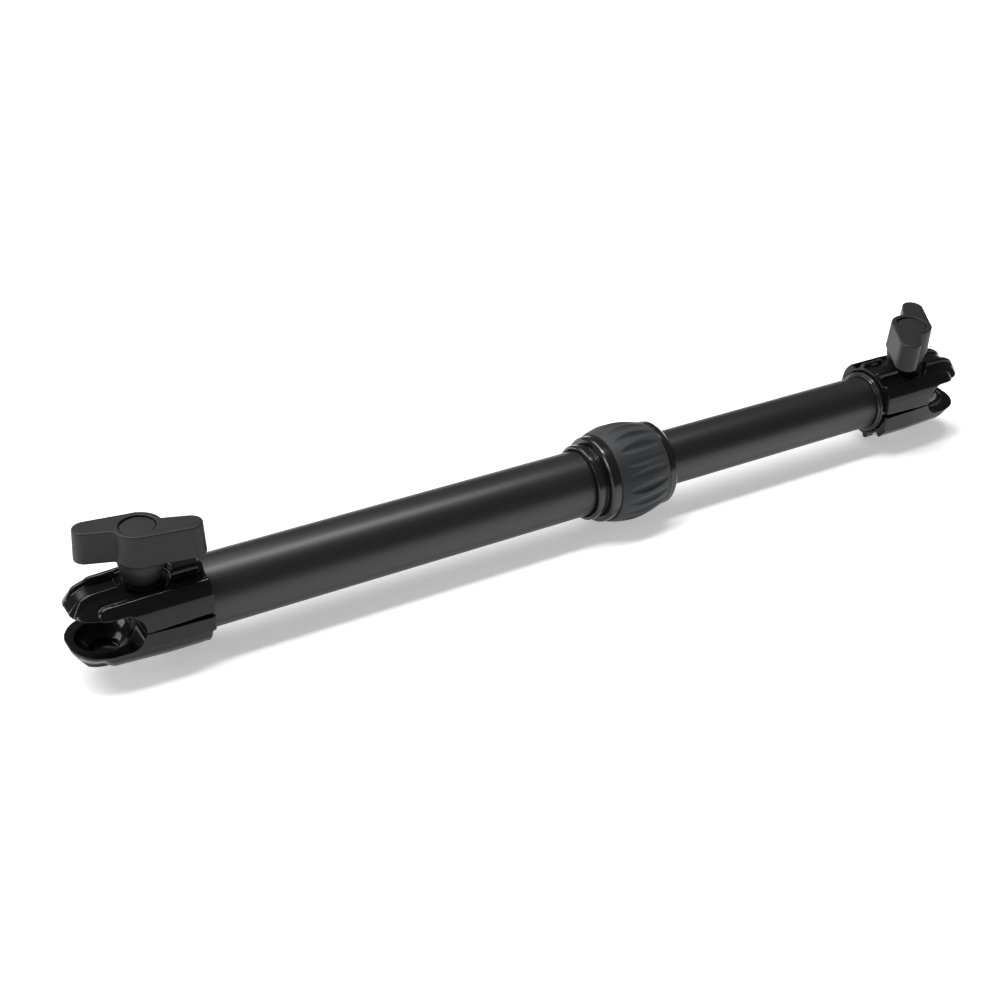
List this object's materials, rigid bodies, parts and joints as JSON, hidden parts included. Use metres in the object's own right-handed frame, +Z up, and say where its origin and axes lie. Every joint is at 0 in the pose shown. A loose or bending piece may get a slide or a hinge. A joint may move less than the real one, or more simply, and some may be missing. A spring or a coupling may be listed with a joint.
{
  "type": "bed cargo bar",
  "caption": "Telescoping tube cargo bar with a twist-lock rubber collar and a ball-socket clamp with a wing knob at each end.",
  "frame": {"origin": "centre of the ball socket at the outer-tube end", "axes": "+X along the bar from the outer tube to the inner tube, +Z up along the left clamp screw, +Y to the left of +X"},
  "size_m": [0.683, 0.0656, 0.0916],
  "materials": {
    "tube": "satin black powder coat on aluminium tube, fine even texture, broad soft highlight",
    "jaw": "gloss black paint on die-cast aluminium",
    "collar": "semi-gloss black moulded nylon",
    "grip_rubber": "matte dark grey over-moulded rubber with shallow flutes",
    "knob": "matte black glass-filled nylon, lightly textured",
    "bush_plastic": "plain black acetal, as moulded",
    "steel": "bright zinc-plated steel",
    "brass": "turned brass"
  },
  "bodies": {
    "outer": {"outer_tube": "tube", "collar_base": "collar", "left_end_plug": "bush_plastic", "left_lower_jaw": "jaw", "left_jaw_screw_front": "steel", "left_jaw_screw_back": "steel", "left_clamp_bolt": "steel", "left_clamp_spring": "steel"},
    "left_upper_jaw": {"left_upper_jaw": "jaw"},
    "left_washer": {"left_thrust_washer": "steel"},
    "left_knob": {"left_knob_body": "knob", "left_knob_insert": "brass", "left_knob_cap": "knob"},
    "collar_sleeve": {"twist_sleeve": "collar", "grip_sleeve": "grip_rubber", "wiper_seal": "grip_rubber"},
    "collet": {"collet": "bush_plastic"},
    "guide": {"guide_bush": "bush_plastic"},
    "inner": {"inner_tube": "tube", "right_end_plug": "bush_plastic", "right_reducer_sleeve": "collar", "right_lower_jaw": "jaw", "right_jaw_screw_front": "steel", "right_jaw_screw_back": "steel", "right_clamp_bolt": "steel", "right_clamp_spring": "steel"},
    "right_upper_jaw": {"right_upper_jaw": "jaw"},
    "right_washer": {"right_thrust_washer": "steel"},
    "right_knob": {"right_knob_body": "knob", "right_knob_insert": "brass", "right_knob_cap": "knob"}
  },
  "joints": [
    {"name": "bar_length", "type": "slide", "parent": "outer", "child": "guide", "axis": [1, 0, 0], "range_m": [-0.178, 0.028]},
    {"name": "inner_turn", "type": "hinge", "parent": "guide", "child": "inner", "pos_m": [0.3, 0, 0], "axis": [1, 0, 0], "continuous": true},
    {"name": "collar_turn", "type": "hinge", "parent": "outer", "child": "collar_sleeve", "pos_m": [0.36, 0, 0], "axis": [1, 0, 0], "range_deg": [0, 120]},
    {"name": "collet_draw", "type": "slide", "parent": "outer", "child": "collet", "axis": [1, 0, 0], "range_m": [-0.0016, 0]},
    {"name": "left_knob_rise", "type": "slide", "parent": "outer", "child": "left_washer", "axis": [0, 0, 1], "range_m": [0, 0.0063]},
    {"name": "left_knob_turn", "type": "hinge", "parent": "left_washer", "child": "left_knob", "pos_m": [0.027, 0, 0.03], "axis": [0, 0, 1], "range_deg": [0, 1800]},
    {"name": "left_jaw_open", "type": "hinge", "parent": "outer", "child": "left_upper_jaw", "pos_m": [0.06, 0, 0.0225], "axis": [0, 1, 0], "range_deg": [0, 8]},
    {"name": "right_knob_rise", "type": "slide", "parent": "inner", "child": "right_washer", "axis": [0, -0.0698, 0.9976], "range_m": [0, 0.0063]},
    {"name": "right_knob_turn", "type": "hinge", "parent": "right_washer", "child": "right_knob", "pos_m": [0.613, 0, 0], "axis": [0, -0.0698, 0.9976], "range_deg": [0, 1800]},
    {"name": "right_jaw_open", "type": "hinge", "parent": "inner", "child": "right_upper_jaw", "pos_m": [0.58, -0.00157, 0.02245], "axis": [0, -0.9976, -0.0698], "range_deg": [0, 8]}
  ],
  "couplings": [
    {"joint": "collet_draw", "follows": "collar_turn", "m_per_rad": -0.0007162},
    {"joint": "left_knob_rise", "follows": "left_knob_turn", "m_per_rad": 0.00019894},
    {"joint": "left_jaw_open", "follows": "left_knob_turn", "ratio": 0.00433},
    {"joint": "right_knob_rise", "follows": "right_knob_turn", "m_per_rad": 0.00019894},
    {"joint": "right_jaw_open", "follows": "right_knob_turn", "ratio": 0.00433}
  ]
}
